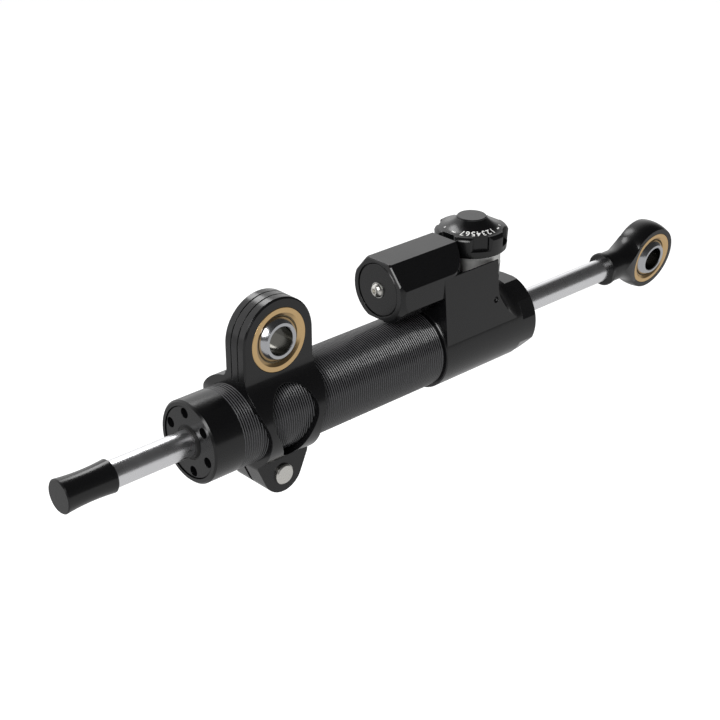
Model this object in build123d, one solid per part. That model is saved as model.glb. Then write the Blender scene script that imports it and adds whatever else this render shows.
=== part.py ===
from build123d import *
from math import cos, hypot, pi, radians, sin, sqrt, tan
import os

# Steering damper for an electric scooter, in millimetres.
# Every piece is drawn about the axis of the cylinder tube, with +X along the rod to the rod end
# and +Z up through the reservoir and the knob, and is then moved by ORIGIN_SHIFT, so that the
# finished part's origin is the centre of the ball in the clamp's ear.

# Fits
SLIDE = 0.05            # radial gap of a rod, ball or clamp that moves
SEAT = 0.02             # radial gap of a piece that is screwed or pressed home
EDGE = 0.4              # small chamfer on a machined edge

# Ball joints in the clamp's ear and in the rod end
BALL_R = 9.7
BALL_HALF = 7.0
BALL_BORE_R = 5.25
BALL_CHAMFER = 0.35
LINER_T = 0.45
RACE_BEVEL = 1.3

# Cylinder tube, with a ribbed stretch that the clamp can grip anywhere
TUBE_R = 15.75
TUBE_BORE_R = 12.75
TUBE_FRONT = -35.5
RIB_START = -22.6
RIB_PITCH = 1.025
RIB_COUNT = 97
RIB_GROOVE = 0.6
RIB_DEPTH = 0.35
SPIGOT_R = 14.6         # the turned-down rear end that screws into the head

# Inner cylinder, which the piston runs in
INNER_R = 11.5
INNER_BORE_R = 10.0
INNER_FRONT = -17.0
INNER_REAR = 84.0
PORT_X = -11.3
PORT_R = 0.9
PORT_COUNT = 6

# Front gland
GLAND_R = 13.7
GLAND_FACE = -35.1
GLAND_STEP = -23.9
GLAND_NOSE_R = INNER_BORE_R - SLIDE
GLAND_END = -12.5
SPANNER_PCD_R = 11.1
SPANNER_HOLE_R = 2.0
SPANNER_DEPTH = 4.0
SPANNER_TURN = 20.5     # degrees from +Y to the first of six holes

# Rod, its seals and bushes
ROD_R = 5.0
ROD_FRONT = -85.5
ROD_SHOULDER = 191.6
ROD_TIP = 203.5
ROD_THREAD_R = 4.0
ROD_PASSAGE_R = 5.3
BUSH_R = 6.0
SEAL_R = 8.0
WIPER_R = 6.6

# Rubber cap on the rod's front end
CAP_FACE = -88.95
CAP_REAR = -68.6
CAP_FRONT_R = 6.35
CAP_WAIST_R = 5.7
CAP_REAR_R = 6.15

# Piston
PISTON_X = 37.5
PISTON_HALF = 6.0
PISTON_R = 9.7
PISTON_GROOVE_HALF = 2.0
PISTON_GROOVE_R = 8.2
CIRCLIP_T = 1.0
CIRCLIP_R = 7.0
CIRCLIP_SEAT_R = 4.6
CIRCLIP_GAP = 0.1

# Head: a turned rear part with a neck and a reservoir block above it
HEAD_FRONT = 77.4
HEAD_R = 17.0
HEAD_REAR = 129.9
NECK_FRONT = 78.2
SOCKET_END = 94.8
NOSE_FRONT = 80.0
NECK_FOOT_Z = 5.4
NECK_FOOT_HALF = 16.1
NECK_TOP_Z = 32.9
NECK_TOP_HALF = 13.8
NECK_REAR = 108.2
NECK_CORNER_R = 3.2
FLARE_REAR = 118.4
FLARE_CENTRE = (120.0, 30.5)
FLARE_FRONT = 104.0
FLARE_TOP_R = 27.0
FLATS_FRONT = 121.5
# Each flat is given by its angle, in degrees from -Y towards +Z, and its distance from the axis
WRENCH_FLATS = ((90, 16.0), (25, 16.57), (155, 16.57), (-45, 15.9), (225, 15.9))
PLUGGED_HOLE = (106.3, 16.6)    # x and z of the dimple where a cross drilling is closed
PLUGGED_HOLE_R = 1.3
REAR_POCKET = 112.0
REAR_CLIP_X = 118.3

# Reservoir block and what it holds
RES_FRONT = 55.9
RES_REAR = 91.6
RES_Z = 31.0
RES_SIDE = 13.8
RES_TOP_Z = 42.9
RES_BOTTOM_Z = 18.8
RES_TOP_HALF = 6.4
RES_BOTTOM_HALF = 7.0
RES_SIDE_TOP_Z = 34.0
RES_SIDE_BOTTOM_Z = 25.3
RES_FACE_R = 12.8
RES_CORNER_R = 9.0
RES_BORE_R = 10.5
RES_BORE_END = 82.0
RES_MOUTH_R = 10.8
RES_MOUTH_DEPTH = 0.8
PLUG_FACE = 56.1
PLUG_REAR = 62.0
SEPARATOR_FRONT = 71.5
SEPARATOR_REAR = 77.5
SEPARATOR_FLOOR = 74.6
SEPARATOR_CUP_R = 8.7

# Adjuster: collar, knob and needle on one upright axis
KNOB_X = 106.8
COLUMN_R = 12.0
COLUMN_FOOT_R = 11.2
COLUMN_FOOT_Z = 10.0
RECESS_FRONT = 87.6
RECESS_HALF = 13.2
COLLAR_SEAT_Z = 28.9
COLLAR_R = 11.9
COLLAR_TOP_Z = 34.7
COLLAR_SHANK_R = 8.0
COLLAR_SHANK_Z = 24.5
COLLAR_NECK_R = 5.0
COLLAR_NECK_Z = 41.0
STEM_R = 2.5
STEM_FLAT = 1.9
STEM_TOP_Z = 40.7
KNOB_BOTTOM_Z = 35.0
KNOB_FOOT_R = 14.2
KNOB_R = 14.7
KNOB_RIM_Z = 42.1
KNOB_BROW = (13.5, 43.5)
KNOB_CROWN = (6.0, 47.4)
KNOB_HOLLOW = (9.4, 44.7)
KNOB_CAP_R = 5.85
KNOB_CAP_SEAT_Z = 46.1
KNOB_CAP_TOP_Z = 48.0
KNOB_THREAD_R = 1.6
FLUTE_COUNT = 6
FLUTE_FLOOR_Z = 37.9
# A flute's corners on one side, as distances out from the axis and off the flute's middle line
FLUTE_SIDE = ((12.6, 2.9), (13.4, 3.3), (13.9, 4.75), (16.0, 4.75))
CLIP_Z = 38.5
CLIP_T = 0.8
DETENT_R = 8.8
DETENT_BALL_R = 1.2
DETENT_BALL_Z = 34.4
NEEDLE_TIP_Z = 8.8
NEEDLE_SEAT_Z = 10.5
ORIFICE_R = 1.0
REAR_PORT_Z = 7.5
ANNULUS_PORT_Z = 12.1
RES_PORT_Z = 22.8

# Clamp
EAR_Y = -3.0
EAR_Z = 31.4
EAR_HALF = 5.5
EAR_R = 15.9
EAR_FOOT_Z = 11.0
EAR_NEAR_ROOT_R = 8.0     # hollow curve from the ear's face down to the ring
EAR_FAR_ROOT_R = 2.5
EAR_RACE_R = 12.25
EAR_RACE_HALF = 5.65
EAR_GROOVE_Y = (-4.8, -1.2)
EAR_GROOVE_W = 0.5
EAR_GROOVE_DEPTH = 0.45
RING_R = 18.7
RING_Y = 0.7            # the ring's outside is set off from the tube's axis
RING_HALF = 11.7
RING_WAIST_Z = -1.0
RING_LOW_Z = -16.9
LUG_Z = -21.3
LUG_R = 9.1
LUG_HALF_Y = 9.0
LUG_LEAN = 24.0       # degrees, of the ring's side where it runs into the lug
SLOT_HALF = 0.8
WINDOW_TOP = (4.5, 10.45)
WINDOW_FOOT = (-8.1, 5.0)
BOLT_Z = -22.9
BOLT_R = 4.0
BOLT_PROUD = 1.3
BOLT_HEAD_R = 6.5
BOLT_HEAD_H = 8.0
BOLT_HEX = 6.0

# Rod end
EYE_X = 220.3
EYE_ROLL = 8.6          # degrees that the rod end is turned about the rod
EYE_CROWN_R = 15.1
EYE_FACE_R = 14.1
EYE_HALF = 5.8
EYE_RACE_R = 12.0
SHANK_FRONT = 191.6
SHANK_R = 6.8
SHANK_COLLAR_R = 7.3
SHANK_COLLAR_L = 1.7
SHANK_BORE_END = 205.0
EYE_FILLET_R = 14.0

ORIGIN_SHIFT = Pos(0, -EAR_Y, -EAR_Z)


def turned(*outline):
    """A piece turned about the tube's axis, from the (x, radius) corners of its outline."""
    corners = [(x, 0, r) for x, r in outline]
    return revolve(make_face(Polyline(*corners, close=True)), Axis.X)


def ring(x0, x1, outer, inner=0.0):
    """A plain ring or disc about the tube's axis."""
    return turned((x0, inner), (x0, outer), (x1, outer), (x1, inner))


def o_ring(x, radius, section):
    """An O-ring about the tube's axis, from its centre circle and the radius of its section."""
    return Pos(x, 0, 0) * Rot(0, 90, 0) * Torus(radius, section)


def upright(*outline):
    """A piece turned about the knob's axis, from the (radius, z) corners of its outline."""
    corners = [(r, 0, z) for r, z in outline]
    return Pos(KNOB_X, 0, 0) * revolve(make_face(Polyline(*corners, close=True)), Axis.Z)


def drill(x0, x1, z, radius):
    """A straight drilling along X."""
    return Pos(0, 0, z) * ring(x0, x1, radius)


def circlip(x, outer, inner, thickness):
    """A snap ring with a gap at the bottom for its pliers."""
    band = ring(x, x + thickness, outer, inner)
    return band - Pos(x, 0, -outer) * Box(3 * thickness, outer * 0.8, outer * 1.4)


def coil(radius, wire, pitch, turns):
    """A compression spring along +Z from the origin, wound in quarter turns of two arcs each."""
    def point(angle):
        return Vector(radius * cos(angle), radius * sin(angle), pitch * angle / (2 * pi))

    def tangent(angle):
        rise = pitch / (2 * pi)
        return Vector(-radius * sin(angle), radius * cos(angle), rise).normalized()

    arcs = []
    quarters = round(4 * turns)
    for k in range(quarters):
        a0, a1 = k * pi / 2, (k + 1) * pi / 2
        p0, p1, t0, t1 = point(a0), point(a1), tangent(a0), tangent(a1)
        chord = p1 - p0
        both = t0 + t1
        # length of the two handles that makes a pair of arcs meet smoothly half way
        a = both.dot(both) - 4
        b = -2 * chord.dot(both)
        c = chord.dot(chord)
        handle = (-b - sqrt(b * b - 4 * a * c)) / (2 * a)
        h0, h1 = p0 + t0 * handle, p1 - t1 * handle
        middle = (h0 + h1) * 0.5
        arcs.append(TangentArc(p0, middle, tangent=t0))
        arcs.append(TangentArc(middle, p1, tangent=(h1 - h0).normalized()))
    section = Plane(origin=point(0), z_dir=tangent(0)) * Circle(wire)
    return sweep(section, path=Wire(arcs))


def least_coil_gap(radius, wire, pitch, turns):
    """The least gap between neighbouring turns, measured on points along the wire's line."""
    steps = 48
    line = []
    for k in range(round(turns * steps) + 1):
        a = 2 * pi * k / steps
        line.append((radius * cos(a), radius * sin(a), pitch * k / steps))
    least = pitch
    for i, p in enumerate(line):
        for q in line[i + steps // 2:]:
            least = min(least, hypot(p[0] - q[0], p[1] - q[1], p[2] - q[2]))
    return least - 2 * wire


def cylinder_tube():
    outline = [(TUBE_FRONT, GLAND_R + SEAT), (TUBE_FRONT, TUBE_R - 0.7), (TUBE_FRONT + 0.7, TUBE_R)]
    for k in range(RIB_COUNT):
        x = RIB_START + k * RIB_PITCH
        outline += [(x, TUBE_R), (x + RIB_GROOVE / 2, TUBE_R - RIB_DEPTH), (x + RIB_GROOVE, TUBE_R)]
    shoulder = HEAD_FRONT - 0.2
    rear = SOCKET_END - 0.2
    outline += [(shoulder, TUBE_R), (shoulder, SPIGOT_R), (90.4, SPIGOT_R), (90.4, 13.5)]
    outline += [(91.6, 13.5), (91.6, SPIGOT_R), (rear, SPIGOT_R), (rear, TUBE_BORE_R)]
    outline += [(GLAND_STEP, TUBE_BORE_R), (GLAND_STEP, GLAND_R + SEAT)]
    return turned(*outline)


def head_oring():
    return o_ring(91.0, 14.05, 0.54)


def inner_cylinder():
    body = ring(INNER_FRONT, INNER_REAR, INNER_R, INNER_BORE_R)
    for k in range(PORT_COUNT // 2):
        body -= Pos(PORT_X, 0, 0) * Rot(60 * k, 0, 0) * Cylinder(PORT_R, 3 * INNER_R)
    return body


def liner_orings():
    return [o_ring(x, 9.45, 0.48) for x in (-14.5, 82.0)]


def front_gland():
    body = turned(
        (GLAND_FACE, WIPER_R), (GLAND_FACE, GLAND_R - EDGE), (GLAND_FACE + EDGE, GLAND_R),
        (GLAND_STEP, GLAND_R), (GLAND_STEP, TUBE_BORE_R - SLIDE), (-21.3, TUBE_BORE_R - SLIDE),
        (-21.3, 10.9), (-19.2, 10.9), (-19.2, TUBE_BORE_R - SLIDE), (INNER_FRONT, TUBE_BORE_R - SLIDE),
        (INNER_FRONT, GLAND_NOSE_R), (-15.2, GLAND_NOSE_R), (-15.2, 8.9), (-13.8, 8.9),
        (-13.8, GLAND_NOSE_R), (GLAND_END, GLAND_NOSE_R), (GLAND_END, BUSH_R), (-23.2, BUSH_R),
        (-23.2, ROD_PASSAGE_R), (-24.6, ROD_PASSAGE_R), (-24.6, SEAL_R), (-29.8, SEAL_R),
        (-29.8, ROD_PASSAGE_R), (-31.2, ROD_PASSAGE_R), (-31.2, WIPER_R))
    hole = Pos(GLAND_FACE, 0, 0) * Rot(0, 90, 0) * Cylinder(SPANNER_HOLE_R, 2 * SPANNER_DEPTH)
    for k in range(6):
        a = radians(SPANNER_TURN + 60 * k)
        body -= Pos(0, SPANNER_PCD_R * cos(a), SPANNER_PCD_R * sin(a)) * hole
    return body


def gland_oring():
    return o_ring(-20.25, 11.8, 0.88)


def rod_bush(x0, x1):
    return ring(x0, x1, BUSH_R - SEAT, ROD_R + SLIDE)


def rod_seal(x0, x1, towards):
    """A U-cup seal whose lips open towards the oil, at x1 if towards is 1 and at x0 if it is -1."""
    open_end, back = (x1, x0) if towards > 0 else (x0, x1)
    root = open_end - towards * 2.1
    inner, outer = ROD_R + SLIDE, SEAL_R - SEAT
    return turned((back, inner), (back, outer), (open_end, outer), (open_end, 7.1), (root, 6.5),
                  (open_end, 5.9), (open_end, inner))


def front_wiper():
    inner = ROD_R + SLIDE
    return turned((-31.2, inner), (-31.2, WIPER_R - SEAT), (-35.0, WIPER_R - SEAT), (-35.0, 6.1),
                  (-35.9, 5.7), (-35.9, inner))


def rear_wiper():
    inner = ROD_R + SLIDE
    outer = SEAL_R - SEAT
    return turned((121.0, 6.6), (121.0, outer), (129.6, outer), (129.6, 6.3), (130.5, 5.8),
                  (130.5, inner), (123.0, inner), (123.0, 6.6))


def rear_snap_ring():
    return circlip(REAR_CLIP_X + 0.05, 8.6, 6.3, 1.0)


def neck_half(z):
    """Half the neck's width at a height."""
    lean = (NECK_FOOT_HALF - NECK_TOP_HALF) / (NECK_TOP_Z - NECK_FOOT_Z)
    return NECK_TOP_HALF + lean * (NECK_TOP_Z - z)


def neck_section(foot_z, top_z):
    """The neck's section across X: two sides that lean in a little towards the top."""
    foot, top = neck_half(foot_z), neck_half(top_z)
    corners = [(0, -foot, foot_z), (0, foot, foot_z), (0, top, top_z), (0, -top, top_z)]
    return make_face(Polyline(*corners, close=True))


def neck():
    length = NECK_REAR - NECK_FRONT
    body = Pos(NECK_FRONT, 0, 0) * extrude(neck_section(0, NECK_TOP_Z), length, dir=(1, 0, 0))
    plan = Rectangle(length, 2 * neck_half(0))
    plan = fillet(plan.vertices().group_by(Axis.X)[-1], NECK_CORNER_R)
    plan = chamfer(plan.vertices().group_by(Axis.X)[0], EDGE)
    return body & Pos(NECK_FRONT + length / 2, 0, -1) * extrude(plan, 60)


def flare():
    """The hollow curve, left by turning, from the neck down to the round rear part."""
    cx, cr = FLARE_CENTRE
    radius = hypot(FLARE_REAR - cx, HEAD_R - cr)
    top_x = cx - sqrt(radius ** 2 - (cr - FLARE_TOP_R) ** 2)
    middle_r = (HEAD_R + FLARE_TOP_R) / 2
    middle_x = cx - sqrt(radius ** 2 - (cr - middle_r) ** 2)
    sweep_arc = ThreePointArc((FLARE_REAR, 0, HEAD_R), (middle_x, 0, middle_r), (top_x, 0, FLARE_TOP_R))
    rest = Polyline((top_x, 0, FLARE_TOP_R), (FLARE_FRONT, 0, FLARE_TOP_R), (FLARE_FRONT, 0, 0),
                    (FLARE_REAR, 0, 0), (FLARE_REAR, 0, HEAD_R))
    body = revolve(make_face(sweep_arc.edges() + rest.edges()), Axis.X)
    sides = extrude(neck_section(0, NECK_TOP_Z), FLARE_REAR - FLARE_FRONT, dir=(1, 0, 0))
    return body & Pos(FLARE_FRONT, 0, 0) * sides


def reservoir_plan(z):
    """The block's outline seen from above, with its rounded rear end, as a 60 mm high column."""
    length = RES_REAR - RES_FRONT
    plan = Rectangle(length, 2 * RES_SIDE)
    plan = fillet(plan.vertices().group_by(Axis.X)[-1], RES_CORNER_R)
    return Pos(RES_FRONT + length / 2, 0, z) * extrude(plan, 60)


def reservoir_block():
    corners = [(RES_TOP_HALF, RES_TOP_Z), (RES_SIDE, RES_SIDE_TOP_Z), (RES_SIDE, RES_SIDE_BOTTOM_Z),
               (RES_BOTTOM_HALF, RES_BOTTOM_Z)]
    corners += [(-y, z) for y, z in reversed(corners)]
    length = RES_REAR - RES_FRONT
    face = make_face(Polyline(*[(0, y, z) for y, z in corners], close=True))
    body = Pos(RES_FRONT, 0, 0) * extrude(face, length, dir=(1, 0, 0))
    body &= reservoir_plan(0)
    body = chamfer(body.faces().sort_by(Axis.X)[0].edges(), 0.5)
    facing = turned((RES_FRONT, 0), (RES_FRONT, RES_FACE_R), (RES_FRONT + 0.8, RES_FACE_R + 0.6),
                    (RES_FRONT + 3, RES_FACE_R + 2.2), (RES_REAR + 1, RES_FACE_R + 2.2), (RES_REAR + 1, 0))
    return body & Pos(0, 0, RES_Z) * facing


def recess():
    """The open recess under the knob, between two thin lips and the reservoir's rounded end."""
    length = 40.0
    cut = Pos(RECESS_FRONT + length / 2, 0, COLLAR_SEAT_Z + 15) * Box(length, 2 * RECESS_HALF, 30)
    return cut - reservoir_plan(COLLAR_SEAT_Z - 1)


def wrench_flats():
    cuts = []
    length = HEAD_REAR - FLATS_FRONT + 1
    for angle, apothem in WRENCH_FLATS:
        block = Pos(FLATS_FRONT + length / 2, 0, apothem + 3) * Box(length, 40, 6)
        cuts.append(Rot(90 - angle, 0, 0) * block)
    return cuts


def head_block():
    body = turned((HEAD_FRONT, 0), (HEAD_FRONT, HEAD_R - EDGE), (HEAD_FRONT + EDGE, HEAD_R),
                  (HEAD_REAR - 0.8, HEAD_R), (HEAD_REAR, HEAD_R - 0.8), (HEAD_REAR, 0))
    for cut in wrench_flats():
        body -= cut
    body += neck()
    body += flare()
    body += upright((0, COLUMN_FOOT_Z), (COLUMN_FOOT_R, COLUMN_FOOT_Z), (COLUMN_R, COLLAR_SEAT_Z),
                    (0, COLLAR_SEAT_Z))
    body += reservoir_block()
    body -= recess()
    dimple_x, dimple_z = PLUGGED_HOLE
    body -= Pos(dimple_x, -neck_half(dimple_z), dimple_z) * Sphere(PLUGGED_HOLE_R)
    body -= socket()
    body -= rod_passage()
    body -= galleries()
    return body


def socket():
    """The threaded socket for the tube, round the nose that carries the inner cylinder."""
    nose_r = INNER_BORE_R - SLIDE
    return turned((HEAD_FRONT - 1, 0), (HEAD_FRONT - 1, SPIGOT_R + SEAT), (SOCKET_END, SPIGOT_R + SEAT),
                  (SOCKET_END, INNER_R), (INNER_REAR, INNER_R), (INNER_REAR, nose_r), (82.7, nose_r),
                  (82.7, 8.9), (81.3, 8.9), (81.3, nose_r), (NOSE_FRONT, nose_r), (NOSE_FRONT, 0))


def rod_passage():
    """The rod's bore, with the bush's seat in front and the seal pocket behind."""
    clip_end = REAR_CLIP_X + 1.1
    return turned((NOSE_FRONT - 1, 0), (NOSE_FRONT - 1, BUSH_R), (90.4, BUSH_R), (90.4, ROD_PASSAGE_R),
                  (REAR_POCKET, ROD_PASSAGE_R), (REAR_POCKET, SEAL_R), (REAR_CLIP_X, SEAL_R),
                  (REAR_CLIP_X, 8.65), (clip_end, 8.65), (clip_end, SEAL_R), (HEAD_REAR + 1, SEAL_R),
                  (HEAD_REAR + 1, 0))


def galleries():
    """The reservoir's bore, the needle's bore and the oil ways that join them."""
    cuts = Pos(0, 0, RES_Z) * turned(
        (RES_FRONT - 1, 0), (RES_FRONT - 1, RES_MOUTH_R), (RES_FRONT + RES_MOUTH_DEPTH, RES_MOUTH_R),
        (RES_FRONT + RES_MOUTH_DEPTH, RES_BORE_R), (RES_BORE_END, RES_BORE_R), (RES_BORE_END, 0))
    cuts += upright((0, REAR_PORT_Z - 0.6), (ORIFICE_R, REAR_PORT_Z - 0.6), (ORIFICE_R, NEEDLE_SEAT_Z),
                    (STEM_R, NEEDLE_SEAT_Z + 0.6), (STEM_R, COLLAR_SHANK_Z), (COLLAR_SHANK_R, COLLAR_SHANK_Z),
                    (COLLAR_SHANK_R, COLLAR_SEAT_Z + 1), (0, COLLAR_SEAT_Z + 1))
    cuts += drill(NOSE_FRONT - 1, KNOB_X, REAR_PORT_Z, 1.0)
    cuts += drill(SOCKET_END - 1, KNOB_X, ANNULUS_PORT_Z, 0.6)
    cuts += drill(RES_BORE_END - 1, KNOB_X, RES_PORT_Z, 0.8)
    return cuts


def reservoir_plug():
    body = turned((PLUG_FACE, 0), (PLUG_FACE, RES_BORE_R - 0.35), (PLUG_FACE + 0.3, RES_BORE_R - SEAT),
                  (58.6, RES_BORE_R - SEAT), (58.6, 9.1), (60.5, 9.1), (60.5, RES_BORE_R - SEAT),
                  (PLUG_REAR, RES_BORE_R - SEAT), (PLUG_REAR, 0))
    return Pos(0, 0, RES_Z) * (body - ring(PLUG_FACE - 1, PLUG_REAR + 1, 2.0 + SEAT))


def plug_oring():
    return Pos(0, 0, RES_Z) * o_ring(59.55, 9.8, 0.66)


def bleed_washer():
    return Pos(0, 0, RES_Z) * ring(PLUG_FACE - 0.4, PLUG_FACE, 3.1, 2.0 + SEAT)


def bleed_screw():
    """A small button-head screw with a hexagon socket."""
    seat = PLUG_FACE - 0.4
    crown = seat - 1.7
    dome = ThreePointArc((seat, 0, 2.85), (seat - 1.15, 0, 2.2), (crown, 0, 1.25))
    rest = Polyline((crown, 0, 1.25), (crown, 0, 0), (PLUG_REAR - 0.5, 0, 0), (PLUG_REAR - 0.5, 0, 2.0),
                    (seat, 0, 2.0), (seat, 0, 2.85))
    body = revolve(make_face(dome.edges() + rest.edges()), Axis.X)
    socket_cut = Pos(crown - 1, 0, 0) * Rot(0, 90, 0) * extrude(RegularPolygon(1.1, 6), 2.4)
    return Pos(0, 0, RES_Z) * (body - socket_cut)


def floating_piston():
    outer = RES_BORE_R - SLIDE
    return Pos(0, 0, RES_Z) * turned(
        (SEPARATOR_FLOOR, 0), (SEPARATOR_FLOOR, SEPARATOR_CUP_R), (SEPARATOR_FRONT, SEPARATOR_CUP_R),
        (SEPARATOR_FRONT, outer), (75.3, outer), (75.3, 9.1), (76.9, 9.1), (76.9, outer),
        (SEPARATOR_REAR, outer), (SEPARATOR_REAR, 0))


def floating_piston_oring():
    return Pos(0, 0, RES_Z) * o_ring(76.1, 9.76, 0.64)


SPRING = {"radius": 7.4, "wire": 0.65, "pitch": 3.2, "turns": 3.5}
DETENT_SPRING = {"radius": 0.8, "wire": 0.14, "pitch": 0.72, "turns": 4}


def compensator_spring():
    start = PLUG_REAR + SPRING["wire"] + 0.05
    return Pos(start, 0, RES_Z) * Rot(0, 90, 0) * coil(**SPRING)


def adjuster_collar():
    body = upright((0, COLLAR_SHANK_Z), (COLLAR_SHANK_R - SEAT, COLLAR_SHANK_Z), (COLLAR_SHANK_R - SEAT, 25.5),
                   (6.6, 25.5), (6.6, 27.1), (COLLAR_SHANK_R - SEAT, 27.1),
                   (COLLAR_SHANK_R - SEAT, COLLAR_SEAT_Z), (COLLAR_R, COLLAR_SEAT_Z),
                   (COLLAR_R, COLLAR_TOP_Z - EDGE), (COLLAR_R - EDGE, COLLAR_TOP_Z),
                   (COLLAR_NECK_R, COLLAR_TOP_Z), (COLLAR_NECK_R, CLIP_Z), (4.4, CLIP_Z),
                   (4.4, CLIP_Z + CLIP_T), (COLLAR_NECK_R, CLIP_Z + CLIP_T), (COLLAR_NECK_R, COLLAR_NECK_Z),
                   (0, COLLAR_NECK_Z))
    body -= stem(STEM_R, STEM_FLAT, COLLAR_SHANK_Z - 1, COLLAR_NECK_Z + 1)
    hole_floor = DETENT_BALL_Z - 4.5
    hole = Pos(KNOB_X - DETENT_R, 0, hole_floor) * Cylinder(DETENT_BALL_R + SLIDE, 10, align=HOLE_ALIGN)
    return body - hole


HOLE_ALIGN = (Align.CENTER, Align.CENTER, Align.MIN)


def stem(radius, flat, z0, z1):
    """The needle's keyed stem: round, with one flat that stops it turning."""
    section = Circle(radius) & Pos(flat - radius, 0) * Rectangle(2 * radius, 4 * radius)
    return Pos(KNOB_X, 0, z0) * extrude(section, z1 - z0)


def collar_oring():
    return Pos(KNOB_X, 0, 26.3) * Torus(7.3, 0.66)


def knob_retaining_ring():
    band = upright((4.45, CLIP_Z + 0.05), (5.6, CLIP_Z + 0.05), (5.6, CLIP_Z + CLIP_T - 0.05),
                   (4.45, CLIP_Z + CLIP_T - 0.05))
    return band - Pos(KNOB_X + 5, 0, CLIP_Z) * Box(4, 5, 4)


def flute():
    """The cutter for one flute: a deep flat-bottomed channel with a shallow step at each side."""
    corners = list(FLUTE_SIDE) + [(x, -y) for x, y in reversed(FLUTE_SIDE)]
    face = make_face(Polyline(*[(x, y, FLUTE_FLOOR_Z) for x, y in corners], close=True))
    return extrude(face, 12, dir=(0, 0, 1))


def adjuster_knob():
    brow_middle = ((KNOB_R + KNOB_BROW[0]) / 2 + 0.25, 0, (KNOB_RIM_Z + KNOB_BROW[1]) / 2)
    brow = ThreePointArc((KNOB_R, 0, KNOB_RIM_Z), brow_middle, (KNOB_BROW[0], 0, KNOB_BROW[1]))
    cone = ThreePointArc((KNOB_BROW[0], 0, KNOB_BROW[1]), (KNOB_HOLLOW[0], 0, KNOB_HOLLOW[1]),
                         (KNOB_CROWN[0], 0, KNOB_CROWN[1]))
    bore = COLLAR_NECK_R + SLIDE
    rest = Polyline((KNOB_CROWN[0], 0, KNOB_CROWN[1]), (KNOB_CAP_R + SEAT, 0, KNOB_CROWN[1]),
                    (KNOB_CAP_R + SEAT, 0, KNOB_CAP_SEAT_Z), (KNOB_THREAD_R, 0, KNOB_CAP_SEAT_Z),
                    (KNOB_THREAD_R, 0, COLLAR_NECK_Z + 0.3), (bore, 0, COLLAR_NECK_Z + 0.3),
                    (bore, 0, CLIP_Z + CLIP_T + 0.1), (5.75, 0, CLIP_Z + CLIP_T + 0.1),
                    (5.75, 0, CLIP_Z - 0.1), (bore, 0, CLIP_Z - 0.1), (bore, 0, KNOB_BOTTOM_Z),
                    (KNOB_FOOT_R - EDGE, 0, KNOB_BOTTOM_Z), (KNOB_FOOT_R, 0, KNOB_BOTTOM_Z + EDGE),
                    (KNOB_R, 0, KNOB_RIM_Z))
    body = revolve(make_face(brow.edges() + cone.edges() + rest.edges()), Axis.Z)
    track = DETENT_BALL_R + 0.2
    groove = Pos(DETENT_R, KNOB_BOTTOM_Z) * Rectangle(2 * track, 1.8)
    body -= revolve(Rot(90, 0, 0) * groove, Axis.Z)
    for k in range(FLUTE_COUNT):
        body -= Rot(0, 0, 360 * k / FLUTE_COUNT) * flute()
    return Pos(KNOB_X, 0, 0) * body


def knob_cap():
    return upright((0, KNOB_CAP_SEAT_Z), (KNOB_CAP_R, KNOB_CAP_SEAT_Z), (KNOB_CAP_R, KNOB_CAP_TOP_Z - 0.25),
                   (KNOB_CAP_R - 0.25, KNOB_CAP_TOP_Z), (0, KNOB_CAP_TOP_Z))


def needle_valve():
    shaft_r = 1.5
    body = upright((0, NEEDLE_TIP_Z), (0.3, NEEDLE_TIP_Z), (1.15, 12.3), (shaft_r, 12.8), (shaft_r, 24.0),
                   (0, 24.0))
    body += stem(STEM_R - SLIDE, STEM_FLAT - SLIDE, 24.0, STEM_TOP_Z)
    body -= upright((1.3, 29.5), (3, 29.5), (3, 31.0), (1.3, 31.0))
    thread = KNOB_THREAD_R - SLIDE
    return body + upright((0, STEM_TOP_Z), (thread, STEM_TOP_Z), (thread, 45.3), (0, 45.3))


def needle_oring():
    ring_body = Pos(KNOB_X, 0, 30.25) * Torus(1.85, 0.54)
    return ring_body & stem(STEM_R - SLIDE, STEM_FLAT - SLIDE, 29.5, 31.0)


def detent_ball():
    return Pos(KNOB_X - DETENT_R, 0, DETENT_BALL_Z) * Sphere(DETENT_BALL_R)


def detent_spring():
    foot = DETENT_BALL_Z - 4.5 + DETENT_SPRING["wire"] + 0.02
    return Pos(KNOB_X - DETENT_R, 0, foot) * coil(**DETENT_SPRING)


def piston():
    x0, x1 = PISTON_X - PISTON_HALF, PISTON_X + PISTON_HALF
    g0, g1 = PISTON_X - PISTON_GROOVE_HALF, PISTON_X + PISTON_GROOVE_HALF
    bore = ROD_R + SLIDE
    return turned((x0, bore), (x0, PISTON_R - EDGE), (x0 + EDGE, PISTON_R), (g0, PISTON_R),
                  (g0, PISTON_GROOVE_R), (g1, PISTON_GROOVE_R), (g1, PISTON_R), (x1 - EDGE, PISTON_R),
                  (x1, PISTON_R - EDGE), (x1, bore))


def piston_ring():
    half = PISTON_GROOVE_HALF - 0.05
    return ring(PISTON_X - half, PISTON_X + half, INNER_BORE_R - 0.03, PISTON_GROOVE_R + 0.05)


def circlip_places():
    return (PISTON_X - PISTON_HALF - CIRCLIP_GAP - CIRCLIP_T, PISTON_X + PISTON_HALF + CIRCLIP_GAP)


def piston_circlips():
    return [circlip(x, CIRCLIP_R, CIRCLIP_SEAT_R + SEAT, CIRCLIP_T) for x in circlip_places()]


def piston_rod():
    body = turned((ROD_FRONT, 0), (ROD_FRONT, ROD_R - 0.8), (ROD_FRONT + 0.8, ROD_R), (ROD_SHOULDER, ROD_R),
                  (ROD_SHOULDER, ROD_THREAD_R), (ROD_TIP, ROD_THREAD_R), (ROD_TIP, 0))
    for x in circlip_places():
        body -= ring(x - 0.04, x + CIRCLIP_T + 0.04, ROD_R + 1, CIRCLIP_SEAT_R)
    return body


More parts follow.
